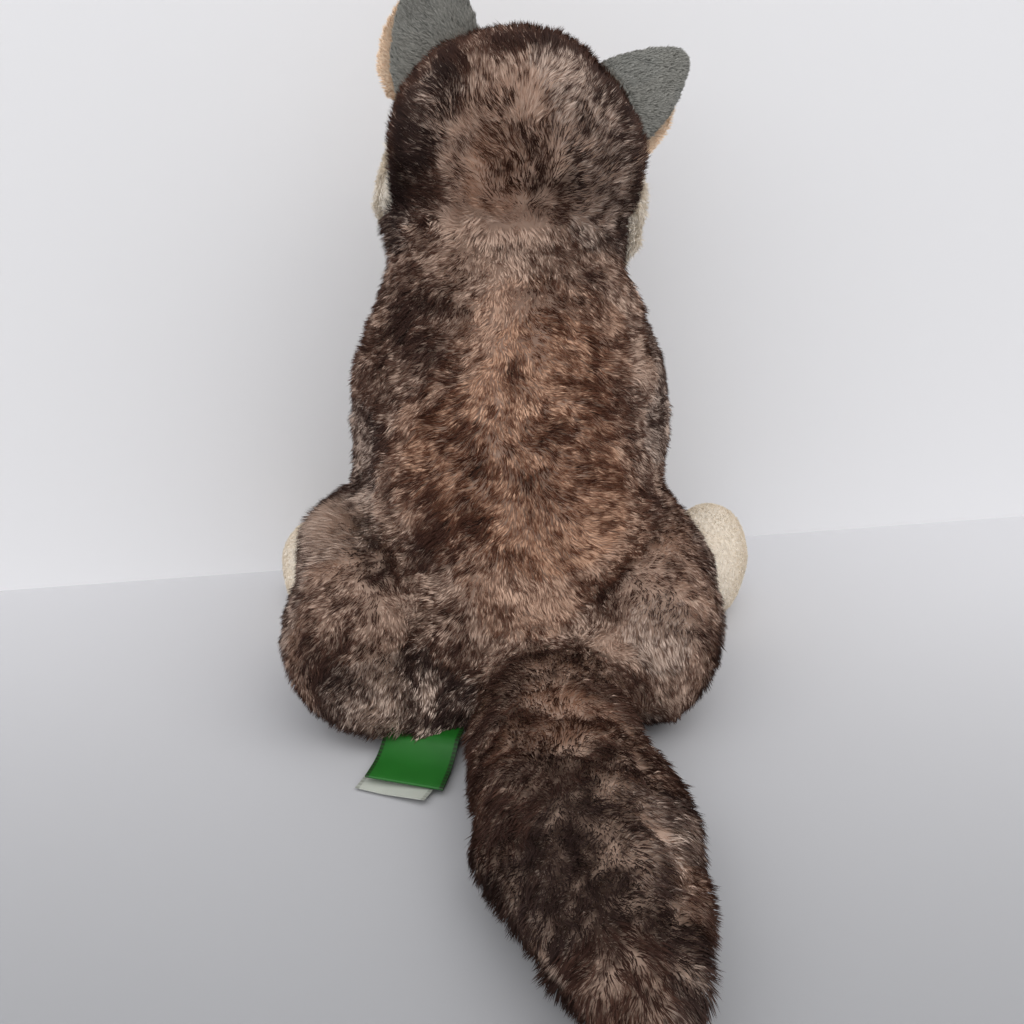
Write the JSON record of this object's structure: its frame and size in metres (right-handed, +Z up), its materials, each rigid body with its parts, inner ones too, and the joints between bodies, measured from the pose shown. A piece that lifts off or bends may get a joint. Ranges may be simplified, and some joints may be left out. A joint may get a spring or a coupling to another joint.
{
  "type": "plush wolf",
  "caption": "Sitting stuffed toy wolf with mottled long-pile back, pale belly, cheeks and feet, grey ears and a bushy tail on the floor.",
  "frame": {"origin": "middle of the flat seat under the torso, on the surface the toy sits on", "axes": "+Z up, the wolf faces -Y, +X is the wolf's left and the tail lies along +Y"},
  "size_m": [0.2521, 0.3534, 0.3113],
  "materials": {
    "mottled_plush": "long pile, brown tips over a pale base",
    "cream_plush": "short cream pile",
    "grey_plush": "short grey pile",
    "lining_plush": "short cream pile",
    "eye_plastic": "polished, moulded",
    "nose_plastic": "satin, moulded",
    "green_ribbon": "woven ribbon",
    "white_satin": "satin ribbon"
  },
  "bodies": {
    "root": {"torso": "mottled_plush", "belly_panel": "cream_plush", "head": "mottled_plush", "muzzle": "cream_plush", "cheek_left": "cream_plush", "cheek_right": "cream_plush", "ear_left": "grey_plush", "ear_right": "grey_plush", "ear_lining_left": "lining_plush", "ear_lining_right": "lining_plush", "eye_left": "eye_plastic", "eye_right": "eye_plastic", "nose": "nose_plastic", "foreleg_left": "mottled_plush", "foreleg_right": "mottled_plush", "forepaw_left": "cream_plush", "forepaw_right": "cream_plush", "haunch_left": "mottled_plush", "haunch_right": "mottled_plush", "hind_foot_left": "cream_plush", "hind_foot_right": "cream_plush", "tail": "mottled_plush", "woven_label": "green_ribbon", "care_label": "white_satin"}
  },
  "joints": []
}
